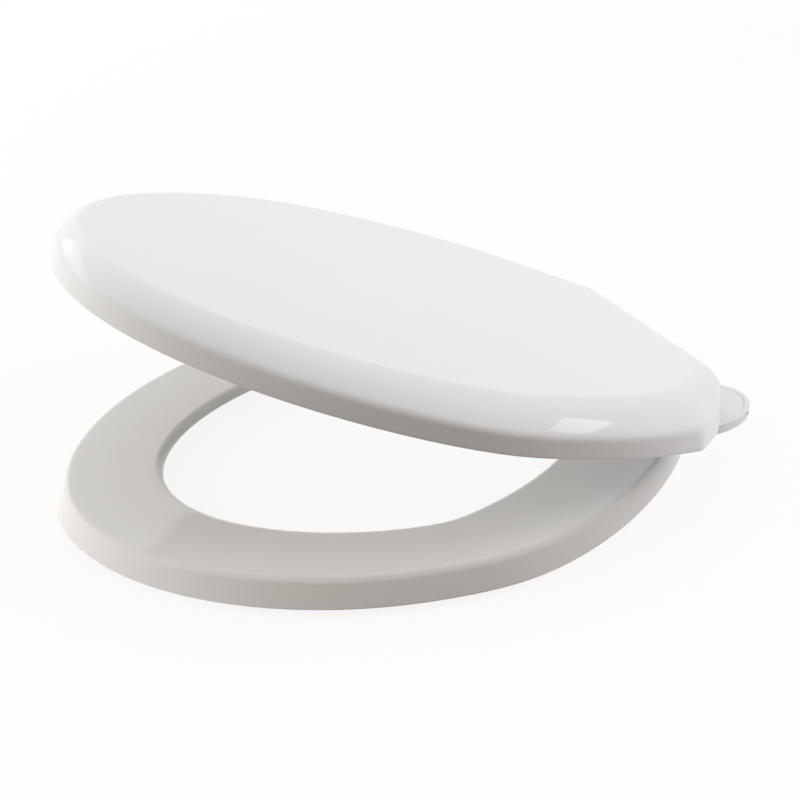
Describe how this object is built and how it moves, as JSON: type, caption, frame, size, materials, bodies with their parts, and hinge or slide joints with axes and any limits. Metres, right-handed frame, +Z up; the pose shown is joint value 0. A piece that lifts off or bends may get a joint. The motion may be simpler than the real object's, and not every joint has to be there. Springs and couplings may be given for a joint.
{
  "type": "toilet seat",
  "caption": "Toilet seat with a closed-front oval ring and a crowned lid on a shared rear hinge, carried by slotted hinge feet that bolt to a pan.",
  "frame": {"origin": "midway between the fixing slots, on the plane of the pan's top", "axes": "+X to the right, +Y to the rear with the nose at -Y, +Z up; the lid rests part-way open"},
  "size_m": [0.3644, 0.4813, 0.1887],
  "materials": {
    "lid": "high gloss white resin",
    "seat_ring": "high gloss white resin",
    "hinge_plate": "gloss white",
    "plate_cap": "gloss white",
    "pad": "soft matte",
    "pin": "turned steel",
    "buffer": "soft satin",
    "bush": "moulded matte"
  },
  "bodies": {
    "base": {"hinge_plate_left": "hinge_plate", "hinge_plate_right": "hinge_plate", "plate_cap_left": "plate_cap", "plate_cap_right": "plate_cap", "plate_pad_left": "pad", "plate_pad_right": "pad", "hinge_pin_left": "pin", "hinge_pin_right": "pin", "pin_clip_left": "pin", "pin_clip_right": "pin"},
    "ring": {"seat_ring": "seat_ring", "seat_buffer_front_left": "buffer", "seat_buffer_front_right": "buffer", "seat_buffer_rear_left": "buffer", "seat_buffer_rear_right": "buffer", "ring_bush_left": "bush", "ring_bush_right": "bush"},
    "lid": {"lid": "lid", "lid_buffer_left": "buffer", "lid_buffer_right": "buffer", "lid_bush_left": "bush", "lid_bush_right": "bush"}
  },
  "joints": [
    {"name": "ring_hinge", "type": "hinge", "parent": "base", "child": "ring", "pos_m": [0, -0.026, 0.03], "axis": [-1, 0, 0], "range_deg": [0, 91]},
    {"name": "lid_hinge", "type": "hinge", "parent": "ring", "child": "lid", "pos_m": [0, -0.026, 0.03], "axis": [-1, 0, 0], "range_deg": [-19.4, 74.6]}
  ]
}
